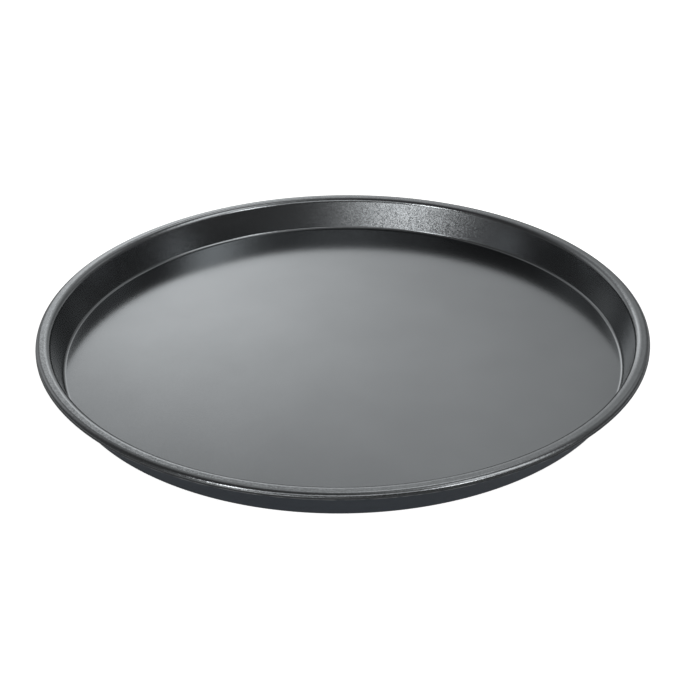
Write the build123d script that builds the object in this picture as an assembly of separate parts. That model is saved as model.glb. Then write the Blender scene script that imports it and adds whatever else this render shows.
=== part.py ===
from build123d import *
import math
import os

# A round, shallow pizza pan: one pressed sheet of steel with a non-stick coating on each side.
# Millimetres, +Z up. The origin is the middle of the underside, on the table.

# Overall size
rim_radius = 160.0              # to the outside of the turned-down lip
pan_height = 19.5               # from the table to the top of the rim
wall_lean = 8.9                 # how far the rim bend's centre stands out from the floor bend's

# Layers of the coated sheet
steel_thickness = 0.5
inside_coat_thickness = 0.04    # food side
underside_coat_thickness = 0.04

# Bends, each measured on the hollow side of the sheet
floor_bend_radius = 1.7
rim_bend_radius = 2.9
lip_bend_radius = 1.84

# Rim
flange_width = 1.9              # flat ring between the rim bend and the lip bend
lip_drop = 0.2                  # straight part of the lip, below its bend

# Depths below the food side where one layer ends and the next begins
sheet_thickness = inside_coat_thickness + steel_thickness + underside_coat_thickness
food_side = 0.0
steel_top = inside_coat_thickness
steel_bottom = inside_coat_thickness + steel_thickness
underside = sheet_thickness

# The underside's coating wraps round the trimmed edge and up the lip's outside
lip_outside = steel_top - underside_coat_thickness

# Centres of the three bends, in the section: distance from the axis, then height
lip_bend_centre = (
    rim_radius - lip_bend_radius - sheet_thickness,
    pan_height - lip_bend_radius - sheet_thickness,
)
rim_bend_centre = (
    lip_bend_centre[0] - flange_width,
    pan_height - rim_bend_radius - sheet_thickness,
)
floor_bend_centre = (
    rim_bend_centre[0] - wall_lean,
    sheet_thickness + floor_bend_radius,
)

# Heights along the lip
lip_start_height = lip_bend_centre[1]
lip_end_height = lip_start_height - lip_drop
steel_trim_height = lip_end_height + underside_coat_thickness


def wall_slope():
    """Angle of the wall above the floor, in radians.

    The wall is the straight line that touches the floor bend from outside and the rim bend from
    inside, so it crosses between the two bends' centres.
    """
    across = rim_bend_centre[0] - floor_bend_centre[0]
    up = rim_bend_centre[1] - floor_bend_centre[1]
    both_radii = floor_bend_radius + rim_bend_radius + sheet_thickness
    return math.atan2(up, across) + math.asin(both_radii / math.hypot(across, up))


def on_bend(centre, radius, angle):
    """Point of a bend, at an angle in radians that is counted from the outward direction."""
    return (centre[0] + radius * math.cos(angle), centre[1] + radius * math.sin(angle))


def on_lip(depth, height):
    """Point of the lip's straight part, at a depth below the food side and a height."""
    return (lip_bend_centre[0] + lip_bend_radius + sheet_thickness - depth, height)


def on_axis(depth):
    """Point of the floor's middle, at a depth below the food side."""
    return (0, sheet_thickness - depth)


def sheet_line(depth):
    """Edges of the section at one depth below the food side, from the axis to the lip's start."""
    slope = math.degrees(wall_slope())
    floor_radius = floor_bend_radius + depth
    rim_top_radius = rim_bend_radius + sheet_thickness - depth
    lip_radius = lip_bend_radius + sheet_thickness - depth

    floor_end = (floor_bend_centre[0], sheet_thickness - depth)
    wall_foot = on_bend(floor_bend_centre, floor_radius, wall_slope() - math.pi / 2)
    wall_top = on_bend(rim_bend_centre, rim_top_radius, wall_slope() + math.pi / 2)
    flange_start = (rim_bend_centre[0], pan_height - depth)
    flange_end = (lip_bend_centre[0], pan_height - depth)

    return [
        Line(on_axis(depth), floor_end),
        CenterArc(floor_bend_centre, floor_radius, -90, slope),
        Line(wall_foot, wall_top),
        CenterArc(rim_bend_centre, rim_top_radius, 90, slope),
        Line(flange_start, flange_end),
        CenterArc(lip_bend_centre, lip_radius, 0, 90),
    ]


def turned(edges):
    """Solid made by turning a closed section about the pan's axis."""
    return revolve(Plane.XZ * make_face(edges), axis=Axis.Z)


def inside_coating():
    """Food side, from the middle of the floor over the rim to the end of the lip bend."""
    edges = sheet_line(food_side) + sheet_line(steel_top)
    edges.append(Line(on_axis(food_side), on_axis(steel_top)))
    edges.append(Line(on_lip(food_side, lip_start_height), on_lip(steel_top, lip_start_height)))
    return turned(edges)


def steel_sheet():
    """The pressed sheet, down to its trimmed edge at the lip."""
    outer_trim = on_lip(steel_top, steel_trim_height)
    inner_trim = on_lip(steel_bottom, steel_trim_height)
    edges = sheet_line(steel_top) + sheet_line(steel_bottom)
    edges.append(Line(on_axis(steel_top), on_axis(steel_bottom)))
    edges.append(Line(on_lip(steel_top, lip_start_height), outer_trim))
    edges.append(Line(on_lip(steel_bottom, lip_start_height), inner_trim))
    edges.append(Line(outer_trim, inner_trim))
    return turned(edges)


def underside_coating():
    """Underside, round the trimmed edge and up the lip's outside to the inside coating's end."""
    inner_end = on_lip(underside, lip_end_height)
    outer_end = on_lip(lip_outside, lip_end_height)
    outer_trim = on_lip(steel_top, steel_trim_height)
    inner_trim = on_lip(steel_bottom, steel_trim_height)
    edges = sheet_line(steel_bottom) + sheet_line(underside)
    edges.append(Line(on_axis(steel_bottom), on_axis(underside)))
    edges.append(Line(on_lip(underside, lip_start_height), inner_end))
    edges.append(Line(inner_end, outer_end))
    edges.append(Line(outer_end, on_lip(lip_outside, lip_start_height)))
    edges.append(Line(on_lip(lip_outside, lip_start_height), on_lip(steel_top, lip_start_height)))
    edges.append(Line(on_lip(steel_top, lip_start_height), outer_trim))
    edges.append(Line(outer_trim, inner_trim))
    edges.append(Line(inner_trim, on_lip(steel_bottom, lip_start_height)))
    return turned(edges)


pieces = {
    "inside_nonstick_coating": inside_coating(),
    "pressed_steel_sheet": steel_sheet(),
    "underside_nonstick_coating": underside_coating(),
}

os.makedirs("parts", exist_ok=True)
for name, solid in pieces.items():
    solid.label = name
    export_step(solid, f"parts/{name}.step")

print(f"wall slope {math.degrees(wall_slope()):.1f} degrees")
print(f"flat floor radius {floor_bend_centre[0]:.2f} mm")
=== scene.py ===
import math

import bpy
import numpy as np
from bpy.props import (
    FloatProperty,
    FloatVectorProperty,
    IntProperty,
    PointerProperty,
)
from bpy.types import Operator, Panel, PropertyGroup
from mathutils import Matrix, Vector


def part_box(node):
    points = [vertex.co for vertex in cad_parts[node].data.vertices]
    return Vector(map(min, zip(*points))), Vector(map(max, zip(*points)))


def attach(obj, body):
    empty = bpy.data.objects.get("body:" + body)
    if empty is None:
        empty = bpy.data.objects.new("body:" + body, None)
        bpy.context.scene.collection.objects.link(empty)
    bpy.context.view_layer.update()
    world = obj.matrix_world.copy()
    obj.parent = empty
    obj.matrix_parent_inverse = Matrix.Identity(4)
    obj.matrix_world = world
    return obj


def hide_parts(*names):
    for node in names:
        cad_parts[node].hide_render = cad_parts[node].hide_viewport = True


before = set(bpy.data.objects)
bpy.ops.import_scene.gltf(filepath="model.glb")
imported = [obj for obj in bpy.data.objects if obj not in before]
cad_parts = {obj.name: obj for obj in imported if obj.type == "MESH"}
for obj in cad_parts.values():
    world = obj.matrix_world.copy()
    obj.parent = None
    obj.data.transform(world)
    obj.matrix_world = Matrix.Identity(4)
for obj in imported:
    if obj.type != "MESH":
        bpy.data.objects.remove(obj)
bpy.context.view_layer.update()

bl_info = {
    "name": "Pizza Pan",
    "version": (1, 0, 0),
    "blender": (4, 5, 0),
    "location": "3D View > Sidebar > Pizza Pan",
    "description": "Pressed non-stick pizza pan: two coatings, the steel between, and a studio",
    "category": "Object",
}

# The pan stands on its underside, with its axis on the frame's Z axis. Metres, +Z up.
MM = 0.001
UNDERSIDE_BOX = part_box("underside_nonstick_coating")


def linear_colour(hex_code):
    """Linear red, green and blue of an sRGB hex colour."""
    srgb = np.array([int(hex_code[i:i + 2], 16) for i in (0, 2, 4)]) / 255
    low = srgb / 12.92
    high = ((srgb + 0.055) / 1.055) ** 2.4
    return tuple(float(v) for v in np.where(srgb <= 0.04045, low, high))


# Settings that a user may change

class PanSizes(PropertyGroup):
    """Sizes of the pressed sheet's section."""
    rim_radius: FloatProperty(
        name="Rim radius", description="From the axis to the outside of the lip",
        default=UNDERSIDE_BOX[1].x, min=0.05, unit="LENGTH", precision=4)
    pan_height: FloatProperty(
        name="Height", description="From the table to the top of the rim",
        default=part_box("inside_nonstick_coating")[1].z, min=0.005, unit="LENGTH", precision=4)
    wall_lean: FloatProperty(
        name="Wall lean",
        description="How far the rim bend's centre stands out from the floor bend's",
        default=8.9 * MM, min=0, unit="LENGTH", precision=4)
    steel_thickness: FloatProperty(
        name="Steel thickness", description="Thickness of the pressed sheet without its coatings",
        default=0.5 * MM, min=0.1 * MM, unit="LENGTH", precision=5)
    coat_thickness: FloatProperty(
        name="Coating thickness", description="Thickness of each non-stick coating",
        default=0.04 * MM, min=0.01 * MM, unit="LENGTH", precision=5)
    floor_bend_radius: FloatProperty(
        name="Floor bend radius", description="Bend between floor and wall, on the food side",
        default=1.7 * MM, min=0.2 * MM, unit="LENGTH", precision=4)
    rim_bend_radius: FloatProperty(
        name="Rim bend radius", description="Bend between wall and flange, on the underside",
        default=2.9 * MM, min=0.2 * MM, unit="LENGTH", precision=4)
    lip_bend_radius: FloatProperty(
        name="Lip bend radius", description="Bend between flange and lip, on the underside",
        default=1.84 * MM, min=0.1 * MM, unit="LENGTH", precision=4)
    flange_width: FloatProperty(
        name="Flange width", description="Flat ring between the rim bend and the lip bend",
        default=1.9 * MM, min=0, unit="LENGTH", precision=4)
    lip_drop: FloatProperty(
        name="Lip drop", description="Straight part of the lip, below its bend",
        default=0.2 * MM, min=0.1 * MM, unit="LENGTH", precision=4)
    steps_round: IntProperty(
        name="Steps round", description="Steps in which the section is turned about the axis",
        default=540, min=24, max=720)


class PanFinishes(PropertyGroup):
    """Colours and grain of the coatings and the steel."""
    inside_colour: FloatVectorProperty(
        name="Inside coating", description="Reflected colour of the metallic non-stick coating",
        subtype="COLOR", size=3, min=0, max=1, default=linear_colour("8d9092"))
    underside_colour: FloatVectorProperty(
        name="Underside coating", description="Colour of the plain dark coating below",
        subtype="COLOR", size=3, min=0, max=1, default=linear_colour("474d54"))
    steel_colour: FloatVectorProperty(
        name="Steel", description="Reflected colour of the cold-rolled steel sheet",
        subtype="COLOR", size=3, min=0, max=1, default=linear_colour("bfc0c2"))
    flake_size: FloatProperty(
        name="Flake size", description="Width of one glint in the metallic coating",
        default=0.5 * MM, min=0.05 * MM, unit="LENGTH", precision=5)
    floor_flake_tilt: FloatProperty(
        name="Flake tilt, floor", description="How far single flakes lean on the flat floor",
        default=0.008, min=0, max=1)
    wall_flake_tilt: FloatProperty(
        name="Flake tilt, wall", description="How far single flakes lean on the drawn wall and rim",
        default=0.06, min=0, max=1)
    flake_rise: FloatProperty(
        name="Flake rise",
        description="Height above the floor at which the flakes stand fully open",
        default=1.5 * MM, min=0.1 * MM, unit="LENGTH", precision=4)
    film_drift: FloatProperty(
        name="Film drift", description="Width of the cloudy patches in the coatings' tone",
        default=45 * MM, min=1 * MM, unit="LENGTH", precision=4)
    tone_change: FloatProperty(
        name="Tone change", description="How much lighter or darker the patches are",
        default=0.03, min=0, max=0.5)
    roll_grain: FloatProperty(
        name="Roll grain", description="Spacing of the steel's rolling marks",
        default=0.4 * MM, min=0.05 * MM, unit="LENGTH", precision=5)


class StudioSettings(PropertyGroup):
    """Camera and lamps."""
    camera_distance: FloatProperty(
        name="Camera distance", description="From the middle of the pan's underside",
        default=0.625, min=0.3, unit="LENGTH")
    camera_elevation: FloatProperty(
        name="Camera elevation", description="Height of the camera above the table, as an angle",
        default=math.radians(30.01), subtype="ANGLE")
    camera_lens: FloatProperty(
        name="Lens", description="Focal length for a 36 mm wide sensor, in millimetres",
        default=59.36, min=10)
    camera_pan: FloatProperty(
        name="Camera pan",
        description="Turn of the camera to the right, away from the pan's middle",
        default=math.radians(0.333), subtype="ANGLE")
    camera_tilt: FloatProperty(
        name="Camera tilt", description="Turn of the camera upwards, away from the pan's middle",
        default=math.radians(-0.381), subtype="ANGLE")
    camera_roll: FloatProperty(
        name="Camera roll", description="Turn of the camera about its line of sight",
        default=math.radians(-0.61), subtype="ANGLE")
    floor_reach: FloatProperty(
        name="Floor reach", description="From the middle of the pan to the edge of the floor",
        default=4.0, min=0.5, unit="LENGTH")
    floor_glow: FloatProperty(
        name="Floor glow",
        description="Brightness that the camera sees in the floor beside its lamplight",
        default=0.9, min=0, max=1)
    mirrored_floor_glow: FloatProperty(
        name="Mirrored floor glow",
        description="The same glow, as mirror images in the pan show it",
        default=0.05, min=0, max=1)
    surroundings: FloatProperty(
        name="Surroundings", description="Brightness of the studio's walls and ceiling",
        default=0.075, min=0)


# Section of the pressed sheet, as points at a distance from the axis and a height

STRAIGHT_GUARD = 0.12 * MM       # a bend's shading fades out this far into a straight run
FLOOR_STEPS, WALL_STEPS, FLANGE_STEPS = 8, 3, 2
FLOOR_BEND_STEPS, RIM_BEND_STEPS, LIP_BEND_STEPS = 16, 18, 14
SHARP_EDGE = math.radians(40)    # an edge that turns by more than this is shaded as sharp


def straight(start, end, steps):
    """Points along a straight run, both ends included.

    Equal steps from start to end, with one more point close to each end, at most a quarter of a
    step away.
    """
    start, end = np.array(start), np.array(end)
    guard = min(STRAIGHT_GUARD / np.linalg.norm(end - start), 0.25 / steps)
    share = np.unique(np.append(np.linspace(0, 1, steps + 1), [guard, 1 - guard]))
    return start + share[:, None] * (end - start)


def bend(centre, radius, first, last, steps):
    """Points along a bend, both ends included.

    The centre plus the radius times the cosine and sine of angles in equal steps, where the angle
    is counted from the outward direction towards up.
    """
    angle = np.linspace(first, last, steps + 1)
    return np.array(centre) + radius * np.column_stack((np.cos(angle), np.sin(angle)))


class Section:
    """The sheet's section: centres of its three bends, wall slope, and lines at any depth.

    Depths count from the food side down through the inside coating, the steel and the underside
    coating.
    """

    def __init__(self, sizes):
        self.sizes = sizes
        self.sheet = sizes.steel_thickness + 2 * sizes.coat_thickness
        self.lip_centre = (
            sizes.rim_radius - sizes.lip_bend_radius - self.sheet,
            sizes.pan_height - sizes.lip_bend_radius - self.sheet,
        )
        self.rim_centre = (
            self.lip_centre[0] - sizes.flange_width,
            sizes.pan_height - sizes.rim_bend_radius - self.sheet,
        )
        self.floor_centre = (
            self.rim_centre[0] - sizes.wall_lean,
            self.sheet + sizes.floor_bend_radius,
        )
        across = self.rim_centre[0] - self.floor_centre[0]
        up = self.rim_centre[1] - self.floor_centre[1]
        radii = sizes.floor_bend_radius + sizes.rim_bend_radius + self.sheet
        self.slope = math.atan2(up, across) + math.asin(radii / math.hypot(across, up))
        self.lip_start = self.lip_centre[1]
        self.lip_end = self.lip_start - sizes.lip_drop

        self.steel_top = sizes.coat_thickness
        self.steel_bottom = self.sheet - sizes.coat_thickness
        self.steel_trim = self.lip_end + sizes.coat_thickness

    def line(self, depth):
        """Points at one depth below the food side, from the axis to the end of the lip bend.

        Six runs on end: the flat floor, the floor bend from straight down round to the wall's
        slope, the straight wall that touches both bends, the rim bend back to level, the flat
        flange, and the lip bend from straight up to straight outwards.
        """
        quarter = math.pi / 2
        floor_bend = bend(
            self.floor_centre, self.sizes.floor_bend_radius + depth,
            -quarter, self.slope - quarter, FLOOR_BEND_STEPS)
        rim_bend = bend(
            self.rim_centre, self.sizes.rim_bend_radius + self.sheet - depth,
            self.slope + quarter, quarter, RIM_BEND_STEPS)
        lip_bend = bend(
            self.lip_centre, self.sizes.lip_bend_radius + self.sheet - depth,
            quarter, 0, LIP_BEND_STEPS)
        runs = [
            straight((0, self.sheet - depth), floor_bend[0], FLOOR_STEPS),
            floor_bend[1:],
            straight(floor_bend[-1], rim_bend[0], WALL_STEPS)[1:],
            rim_bend[1:],
            straight(rim_bend[-1], lip_bend[0], FLANGE_STEPS)[1:],
            lip_bend[1:],
        ]
        return np.concatenate(runs)

    def on_lip(self, depth, height):
        """Point of the lip's straight part, at a depth below the food side and a height."""
        return np.array([[self.sizes.rim_radius - depth, height]])


def turned_mesh(name, outline, steps):
    """Closed mesh of a section outline turned about the Z axis.

    The outline runs from the axis out over the top and back below to the axis. A point at
    distance r and height z, turned by angle a, is at (r cos a, r sin a, z). The two ends lie on
    the axis, so each is one point, closed by a fan.
    """
    ring = outline[1:-1]
    angle = np.linspace(0, 2 * math.pi, steps, endpoint=False)
    points = np.empty((len(ring), steps, 3))
    points[:, :, 0] = ring[:, :1] * np.cos(angle)
    points[:, :, 1] = ring[:, :1] * np.sin(angle)
    points[:, :, 2] = ring[:, 1:]
    poles = np.array([[0, 0, outline[0, 1]], [0, 0, outline[-1, 1]]])
    verts = np.concatenate((points.reshape(-1, 3), poles))

    index = np.arange(len(ring) * steps).reshape(len(ring), steps)
    here, after = index, np.roll(index, -1, axis=1)
    quads = np.stack((here[:-1], here[1:], after[1:], after[:-1]), axis=-1).reshape(-1, 4)
    top, bottom = len(verts) - 2, len(verts) - 1
    top_fan = np.column_stack((np.full(steps, top), here[0], after[0]))
    bottom_fan = np.column_stack((np.full(steps, bottom), after[-1], here[-1]))

    mesh = bpy.data.meshes.new(name)
    faces = quads.tolist() + top_fan.tolist() + bottom_fan.tolist()
    mesh.from_pydata(verts.tolist(), [], faces)
    mesh.update()
    mesh.shade_smooth()
    mesh.set_sharp_from_angle(angle=SHARP_EDGE)
    return mesh


def coat_piece(name, outline, node, material):
    """Turn an outline into a piece that stands for one CAD node and moves with the pan."""
    mesh = turned_mesh(name, outline, bpy.context.scene.pan_sizes.steps_round)
    mesh.materials.append(material)
    piece = bpy.data.objects.new(name, mesh)
    bpy.context.scene.collection.objects.link(piece)
    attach(piece, "root")
    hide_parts(node)
    return piece


# Materials

NOISE_LOW, NOISE_HIGH = 0.3, 0.7    # nearly all values of a noise texture lie between these
FLAKE_ROUGHNESS = 0.18
FLAKE_EDGE_TINT = "d1d1d1"
PAINTED_LIP_SHADE_FROM = 0.3 * MM            # inside the rim radius, where the painted shade on the lip starts
PAINTED_LIP_SHADE_FULL = 0.08 * MM            # the same, where the painted shade is darkest
PAINTED_LIP_SHADE_TONE = 0.3                # share of the coating's tone left there
PLAIN_ROUGHNESS = 0.35
PLAIN_IOR = 1.38
LIP_OUTSIDE = 0.2 * MM              # only the lip's outside lies this close to the rim radius
WORN_PATCH = 6 * MM
WORN_FROM, WORN_FULL = 0.35, 0.7    # noise values between which the film wears through
WORN_STEEL_SHARE = 0.7              # share of bare steel where it is worn most
WORN_STEEL_ROUGHNESS = 0.4
ROLLED_ROUGHNESS = (0.28, 0.42)
ROLLED_STRETCH = (0.02, 1, 1)       # rolling marks are fifty times as long as they are apart


def add_node(tree, kind, inputs=None, **settings):
    """Add a shader node.

    Settings are the node's own attributes. Inputs are values or other nodes' output sockets, by
    the input's name or number.
    """
    made = tree.nodes.new(kind)
    for attribute, value in settings.items():
        setattr(made, attribute, value)
    for socket, value in (inputs or {}).items():
        if isinstance(value, bpy.types.NodeSocket):
            tree.links.new(value, made.inputs[socket])
        else:
            made.inputs[socket].default_value = value
    return made


def new_material(name):
    """Empty node material and its tree."""
    material = bpy.data.materials.new(name)
    material.use_nodes = True
    material.node_tree.nodes.clear()
    return material, material.node_tree


def drifting_tone(tree, place, colour, finishes):
    """A colour that gets a little lighter and darker in wide cloudy patches."""
    cloud = add_node(tree, "ShaderNodeTexNoise", {
        "Vector": place, "Scale": 1 / finishes.film_drift, "Detail": 2.0}).outputs["Fac"]
    tone = add_node(tree, "ShaderNodeMapRange", {
        "Value": cloud, "From Min": NOISE_LOW, "From Max": NOISE_HIGH,
        "To Min": 1 - finishes.tone_change, "To Max": 1 + finishes.tone_change}).outputs["Result"]
    return add_node(tree, "ShaderNodeVectorMath", {
        0: tuple(colour), "Scale": tone}, operation="SCALE").outputs[0]


def from_axis(tree, place):
    """Distance of a place from the pan's axis."""
    flat = add_node(tree, "ShaderNodeVectorMath", {0: place, 1: (1, 1, 0)}, operation="MULTIPLY")
    length = add_node(tree, "ShaderNodeVectorMath", {0: flat.outputs[0]}, operation="LENGTH")
    return length.outputs["Value"]


def flake_nonstick_satin(finishes, floor_top, rim_radius):
    """Inside coating: PTFE non-stick filled with fine metal flake, sprayed and baked.

    It gives the eye a dark metallic grey with soft reflections. On the drawn wall and the rim the
    flakes stand open, so single ones glitter where a lamp is mirrored. Where the lip turns upright
    its colour is darkened: painted shade, a dark line below the rim's gleam for the dim floor it
    mirrors.
    Its edge tint is grey, because the binder keeps the flakes from shining at grazing angles.
    """
    material, tree = new_material("flake_filled_ptfe_sprayed")
    place = add_node(tree, "ShaderNodeTexCoord").outputs["Object"]
    normal = add_node(tree, "ShaderNodeNewGeometry").outputs["Normal"]

    # Each flake lies at its own small tilt, so one cell of the pattern turns the normal one way.
    # Real flakes are under 0.1 mm wide, and these are as coarse as they need to be to show.
    flake = add_node(tree, "ShaderNodeTexVoronoi", {
        "Vector": place, "Scale": 1 / finishes.flake_size, "Randomness": 1.0,
    }, voronoi_dimensions="3D", feature="F1").outputs["Color"]
    tilt = add_node(tree, "ShaderNodeVectorMath", {
        0: flake, 1: (0.5, 0.5, 0.5)}, operation="SUBTRACT")
    height = add_node(tree, "ShaderNodeSeparateXYZ", {0: place}).outputs["Z"]
    drawn = add_node(tree, "ShaderNodeMapRange", {
        "Value": height, "From Min": floor_top, "From Max": floor_top + finishes.flake_rise,
        "To Min": finishes.floor_flake_tilt, "To Max": finishes.wall_flake_tilt,
    }).outputs["Result"]
    tilted = add_node(tree, "ShaderNodeVectorMath", {
        0: tilt.outputs[0], "Scale": drawn}, operation="SCALE")
    turned = add_node(tree, "ShaderNodeVectorMath", {
        0: tilted.outputs[0], 1: normal}, operation="ADD")
    flake_normal = add_node(tree, "ShaderNodeVectorMath", {
        0: turned.outputs[0]}, operation="NORMALIZE")

    # Painted shade: the colour darkens over the last of the lip bend, a dark line that stands in
    # for the dim floor the lip mirrors
    full = add_node(tree, "ShaderNodeMapRange", {
        "Value": from_axis(tree, place),
        "From Min": rim_radius - PAINTED_LIP_SHADE_FROM, "From Max": rim_radius - PAINTED_LIP_SHADE_FULL,
        "To Min": 1.0, "To Max": PAINTED_LIP_SHADE_TONE}).outputs["Result"]
    tone = drifting_tone(tree, place, finishes.inside_colour, finishes)
    colour = add_node(tree, "ShaderNodeVectorMath", {0: tone, "Scale": full}, operation="SCALE")
    shader = add_node(tree, "ShaderNodeBsdfPrincipled", {
        "Base Color": colour.outputs[0],
        "Metallic": 1.0,
        "Roughness": FLAKE_ROUGHNESS,
        "Specular Tint": (*linear_colour(FLAKE_EDGE_TINT), 1),
        "Normal": flake_normal.outputs[0],
    })
    add_node(tree, "ShaderNodeOutputMaterial", {"Surface": shader.outputs[0]})
    return material


def plain_nonstick_satin(finishes, rim_radius):
    """Underside coating: plain blue-grey non-stick, sprayed and baked without flake.

    It gives the eye a dark, satin outer wall. Round the trimmed edge of the lip the film is
    thinnest, so bare steel gleams there in a broken line.
    """
    material, tree = new_material("plain_ptfe_sprayed")
    place = add_node(tree, "ShaderNodeTexCoord").outputs["Object"]
    paint = add_node(tree, "ShaderNodeBsdfPrincipled", {
        "Base Color": drifting_tone(tree, place, finishes.underside_colour, finishes),
        "Roughness": PLAIN_ROUGHNESS,
        "IOR": PLAIN_IOR,
    })
    steel = add_node(tree, "ShaderNodeBsdfPrincipled", {
        "Base Color": (*finishes.steel_colour, 1),
        "Metallic": 1.0,
        "Roughness": WORN_STEEL_ROUGHNESS,
    })

    lip = add_node(tree, "ShaderNodeMath", {
        0: from_axis(tree, place), 1: rim_radius - LIP_OUTSIDE}, operation="GREATER_THAN")
    patches = add_node(tree, "ShaderNodeTexNoise", {
        "Vector": place, "Scale": 1 / WORN_PATCH, "Detail": 2.0}).outputs["Fac"]
    worn = add_node(tree, "ShaderNodeMapRange", {
        "Value": patches, "From Min": WORN_FROM, "From Max": WORN_FULL,
        "To Min": 0.0, "To Max": WORN_STEEL_SHARE}).outputs["Result"]
    bare = add_node(tree, "ShaderNodeMath", {0: worn, 1: lip.outputs[0]}, operation="MULTIPLY")
    both = add_node(tree, "ShaderNodeMixShader", {
        0: bare.outputs[0], 1: paint.outputs[0], 2: steel.outputs[0]})
    add_node(tree, "ShaderNodeOutputMaterial", {"Surface": both.outputs[0]})
    return material


def cold_rolled_steel(finishes):
    """Sheet: cold-rolled carbon steel, with the faint grain of the rolls along one direction.

    The coatings hide it, so it gives the eye bright fine lines only when a coating is taken off.
    The marks are coarser than real ones, as coarse as they need to be to show.
    """
    material, tree = new_material("carbon_steel_cold_rolled")
    place = add_node(tree, "ShaderNodeTexCoord").outputs["Object"]
    along = add_node(tree, "ShaderNodeVectorMath", {
        0: place, 1: ROLLED_STRETCH}, operation="MULTIPLY")
    grain = add_node(tree, "ShaderNodeTexNoise", {
        "Vector": along.outputs[0], "Scale": 1 / finishes.roll_grain, "Detail": 3.0})
    smoothest, roughest = ROLLED_ROUGHNESS
    rough = add_node(tree, "ShaderNodeMapRange", {
        "Value": grain.outputs["Fac"], "From Min": NOISE_LOW, "From Max": NOISE_HIGH,
        "To Min": smoothest, "To Max": roughest}).outputs["Result"]
    shader = add_node(tree, "ShaderNodeBsdfPrincipled", {
        "Base Color": drifting_tone(tree, place, finishes.steel_colour, finishes),
        "Metallic": 1.0,
        "Roughness": rough,
    })
    add_node(tree, "ShaderNodeOutputMaterial", {"Surface": shader.outputs[0]})
    return material


# Operators, one for each piece and one for the studio

class PIZZAPAN_OT_inside_coating(Operator):
    """Build the food side's coating, from the middle of the floor to the end of the lip bend"""
    bl_idname = "pizza_pan.inside_coating"
    bl_label = "Inside Coating"

    def execute(self, context):
        section = Section(context.scene.pan_sizes)
        outline = np.concatenate((section.line(0), section.line(section.steel_top)[::-1]))
        material = flake_nonstick_satin(
            context.scene.pan_finishes, section.sheet, section.sizes.rim_radius)
        coat_piece(
            "inside_coating", outline, "inside_nonstick_coating", material)
        return {"FINISHED"}


class PIZZAPAN_OT_steel_sheet(Operator):
    """Build the pressed steel sheet between the two coatings, down to its trimmed edge"""
    bl_idname = "pizza_pan.steel_sheet"
    bl_label = "Steel Sheet"

    def execute(self, context):
        section = Section(context.scene.pan_sizes)
        outline = np.concatenate((
            section.line(section.steel_top),
            section.on_lip(section.steel_top, section.steel_trim),
            section.on_lip(section.steel_bottom, section.steel_trim),
            section.line(section.steel_bottom)[::-1],
        ))
        material = cold_rolled_steel(context.scene.pan_finishes)
        coat_piece("steel_sheet", outline, "pressed_steel_sheet", material)
        return {"FINISHED"}


class PIZZAPAN_OT_underside_coating(Operator):
    """Build the underside's coating, which wraps round the trimmed edge and up the lip's outside"""
    bl_idname = "pizza_pan.underside_coating"
    bl_label = "Underside Coating"

    def execute(self, context):
        section = Section(context.scene.pan_sizes)
        outline = np.concatenate((
            section.line(section.steel_bottom),
            section.on_lip(section.steel_bottom, section.steel_trim),
            section.on_lip(section.steel_top, section.steel_trim),
            section.on_lip(section.steel_top, section.lip_start),
            section.on_lip(0, section.lip_start),
            section.on_lip(0, section.lip_end),
            section.on_lip(section.sheet, section.lip_end),
            section.line(section.sheet)[::-1],
        ))
        material = plain_nonstick_satin(context.scene.pan_finishes, section.sizes.rim_radius)
        coat_piece(
            "underside_coating", outline, "underside_nonstick_coating",
            material)
        return {"FINISHED"}


SENSOR_WIDTH = 36               # millimetres
FLOOR_PAINT = "e7e7e7"


def place_camera(studio):
    """Camera in front of the pan and above it, aimed a little off its middle."""
    elevation = studio.camera_elevation
    place = studio.camera_distance * Vector((0, -math.cos(elevation), math.sin(elevation)))
    level = Matrix.Rotation(math.pi / 2 - elevation, 4, "X")
    aside = Matrix.Rotation(-studio.camera_pan, 4, "Y")
    up = Matrix.Rotation(studio.camera_tilt, 4, "X")
    about = Matrix.Rotation(studio.camera_roll, 4, "Z")
    data = bpy.data.cameras.new("camera")
    data.lens = studio.camera_lens
    data.sensor_width = SENSOR_WIDTH
    camera = bpy.data.objects.new("camera", data)
    camera.matrix_world = Matrix.Translation(place) @ level @ aside @ up @ about
    bpy.context.scene.collection.objects.link(camera)
    bpy.context.scene.camera = camera


# Soft-edged lamps on the surroundings: azimuth from straight behind the pan to the right,
# elevation, half width and half height in degrees, and brightness, where 1 is white
GLOWS = {
    "back_left": (-10.6, 24.1, 11, 9.1, 1.83),
    "back_left_low": (-12, 8, 6, 8, 1.1),
    "back_right": (8.0, 30.0, 13.3, 11.5, 0.62),
    "back_low": (0, 8, 38, 9, 0.65),
    "back_high": (12, 56, 8, 7, 1.4),
    "back_top": (0, 61, 24, 18, 0.42),
    "high": (0, 54, 60, 13, 0.1),
    "left_panel": (-47, 26, 14, 13, 0.65),
    "left_low": (-43, 6, 10, 9, 0.45),
    "right_panel": (51, 31, 17, 10, 0.4),
    "right_low": (44, 6, 8, 8, 0.3),
    "front": (180, 44, 30, 9, 1.2),
    "front_left_strip": (207.5, 7.8, 20.8, 3.5, 3.7),
    "front_left": (221, 33, 5, 5, 12.0),
    "front_right": (138, 33, 6, 6, 7.0),
    "right": (108, 51, 10.4, 20.2, 2.4),
}


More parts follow.
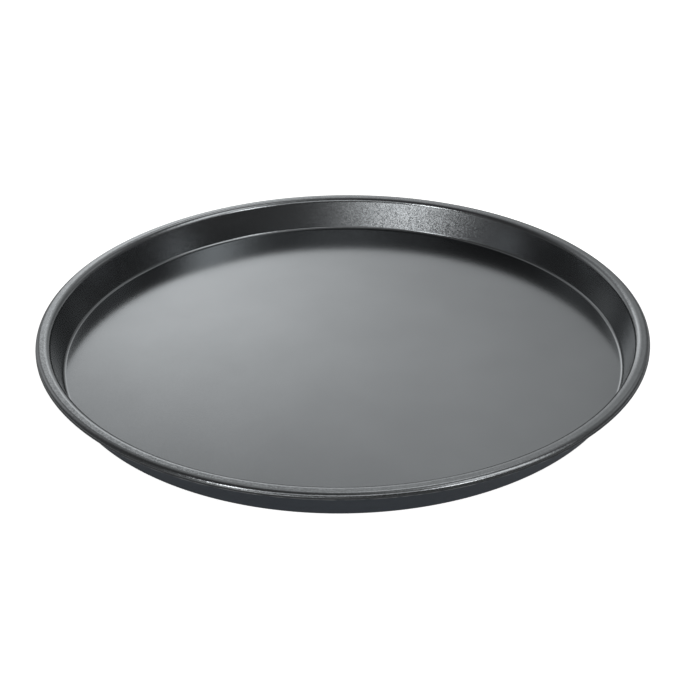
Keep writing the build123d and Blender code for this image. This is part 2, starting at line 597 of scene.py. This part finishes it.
def add_glow(tree, direction, azimuth, elevation, half_width, half_height, brightness):
    """Brightness of one lamp as a socket: brightness times e to the power -(x * x + y * y).

    Here x and y are how far a direction leans from the lamp's middle, sideways and upwards, in
    half widths and half heights. Directions that face away from the lamp get none.
    """
    azimuth, elevation = math.radians(azimuth), math.radians(elevation)
    side = Vector((math.cos(azimuth), -math.sin(azimuth), 0))
    middle = Vector((
        math.sin(azimuth) * math.cos(elevation),
        math.cos(azimuth) * math.cos(elevation),
        math.sin(elevation),
    ))
    above = side.cross(middle)
    across = side / math.sin(math.radians(half_width))
    upwards = above / math.sin(math.radians(half_height))
    x, y, facing = (
        add_node(tree, "ShaderNodeVectorMath", {
            0: direction, 1: axis}, operation="DOT_PRODUCT").outputs["Value"]
        for axis in (across, upwards, middle)
    )
    faced = add_node(tree, "ShaderNodeMath", {0: facing, 1: 0.0}, operation="GREATER_THAN")
    x_square = add_node(tree, "ShaderNodeMath", {0: x, 1: x}, operation="MULTIPLY")
    squares = add_node(tree, "ShaderNodeMath", {
        0: y, 1: y, 2: x_square.outputs[0]}, operation="MULTIPLY_ADD")
    fade = add_node(tree, "ShaderNodeMath", {0: squares.outputs[0], 1: -1.0}, operation="MULTIPLY")
    bell = add_node(tree, "ShaderNodeMath", {0: fade.outputs[0]}, operation="EXPONENT")
    glow = add_node(tree, "ShaderNodeMath", {
        0: bell.outputs[0], 1: brightness}, operation="MULTIPLY")
    return add_node(tree, "ShaderNodeMath", {
        0: glow.outputs[0], 1: faced.outputs[0]}, operation="MULTIPLY").outputs[0]


def pale_floor_paint(studio):
    """Floor: matt white paint, which keeps the pan's shadow.

    The camera sees it as white: paint plus glow. Mirror images see the paint in its lamplight and
    little of the glow, so that the lip and the outer wall mirror a dim floor.
    """
    material, tree = new_material("matt_white_paint_rolled")
    ray = add_node(tree, "ShaderNodeLightPath")
    paint = add_node(tree, "ShaderNodeBsdfDiffuse", {"Color": (*linear_colour(FLOOR_PAINT), 1)})
    mirror_ray = add_node(tree, "ShaderNodeMath", {
        0: ray.outputs["Is Glossy Ray"],
        1: ray.outputs["Is Transmission Ray"],
    }, operation="MAXIMUM")
    mirrored = add_node(tree, "ShaderNodeMath", {
        0: mirror_ray.outputs[0], 1: studio.mirrored_floor_glow}, operation="MULTIPLY")
    strength = add_node(tree, "ShaderNodeMath", {
        0: ray.outputs["Is Camera Ray"],
        1: studio.floor_glow,
        2: mirrored.outputs[0],
    }, operation="MULTIPLY_ADD")
    glow = add_node(tree, "ShaderNodeEmission", {"Strength": strength.outputs[0]})
    both = add_node(tree, "ShaderNodeAddShader", {0: paint.outputs[0], 1: glow.outputs[0]})
    add_node(tree, "ShaderNodeOutputMaterial", {"Surface": both.outputs[0]})
    return material


def lay_floor(studio):
    """Flat square of floor under the pan and round it."""
    reach = studio.floor_reach
    corners = [(-reach, -reach, 0), (reach, -reach, 0), (reach, reach, 0), (-reach, reach, 0)]
    mesh = bpy.data.meshes.new("floor")
    mesh.from_pydata(corners, [], [(0, 1, 2, 3)])
    mesh.materials.append(pale_floor_paint(studio))
    floor = bpy.data.objects.new("floor", mesh)
    bpy.context.scene.collection.objects.link(floor)


def light_surroundings(studio):
    """World: white to the camera, and to the pan dim grey with the soft-edged lamps on it."""
    world = bpy.data.worlds.new("studio")
    world.use_nodes = True
    tree = world.node_tree
    tree.nodes.clear()
    direction = add_node(tree, "ShaderNodeTexCoord").outputs["Generated"]
    total = studio.surroundings
    for glow in GLOWS.values():
        total = add_node(tree, "ShaderNodeMath", {
            0: add_glow(tree, direction, *glow), 1: total}, operation="ADD").outputs[0]
    lit = add_node(tree, "ShaderNodeBackground", {"Color": (1, 1, 1, 1), "Strength": total})
    white = add_node(tree, "ShaderNodeBackground", {"Color": (1, 1, 1, 1), "Strength": 1.0})
    ray = add_node(tree, "ShaderNodeLightPath")
    either = add_node(tree, "ShaderNodeMixShader", {
        0: ray.outputs["Is Camera Ray"], 1: lit.outputs[0], 2: white.outputs[0]})
    add_node(tree, "ShaderNodeOutputWorld", {"Surface": either.outputs[0]})
    bpy.context.scene.world = world


class PIZZAPAN_OT_studio(Operator):
    """Make the floor, the lamps, the surroundings and the camera"""
    bl_idname = "pizza_pan.studio"
    bl_label = "Studio"

    def execute(self, context):
        studio = context.scene.pan_studio
        place_camera(studio)
        lay_floor(studio)
        light_surroundings(studio)
        context.scene.view_settings.view_transform = "Standard"
        return {"FINISHED"}


class PIZZAPAN_PT_sidebar(Panel):
    """Buttons and settings in the 3D view's sidebar"""
    bl_label = "Pizza Pan"
    bl_space_type = "VIEW_3D"
    bl_region_type = "UI"
    bl_category = "Pizza Pan"

    def draw(self, context):
        scene = context.scene
        for operator in OPERATORS:
            self.layout.operator(operator.bl_idname)
        for group in (scene.pan_sizes, scene.pan_finishes, scene.pan_studio):
            box = self.layout.box()
            for name in group.__annotations__:
                box.prop(group, name)


OPERATORS = (
    PIZZAPAN_OT_inside_coating,
    PIZZAPAN_OT_steel_sheet,
    PIZZAPAN_OT_underside_coating,
    PIZZAPAN_OT_studio,
)
CLASSES = (PanSizes, PanFinishes, StudioSettings, *OPERATORS, PIZZAPAN_PT_sidebar)


def register():
    for cls in CLASSES:
        bpy.utils.register_class(cls)
    bpy.types.Scene.pan_sizes = PointerProperty(type=PanSizes)
    bpy.types.Scene.pan_finishes = PointerProperty(type=PanFinishes)
    bpy.types.Scene.pan_studio = PointerProperty(type=StudioSettings)


def unregister():
    del bpy.types.Scene.pan_studio
    del bpy.types.Scene.pan_finishes
    del bpy.types.Scene.pan_sizes
    for cls in reversed(CLASSES):
        bpy.utils.unregister_class(cls)


def main():
    """Build everything in order."""
    register()
    bpy.ops.pizza_pan.studio()
    bpy.ops.pizza_pan.inside_coating()
    bpy.ops.pizza_pan.steel_sheet()
    bpy.ops.pizza_pan.underside_coating()


if __name__ == "__main__":
    main()
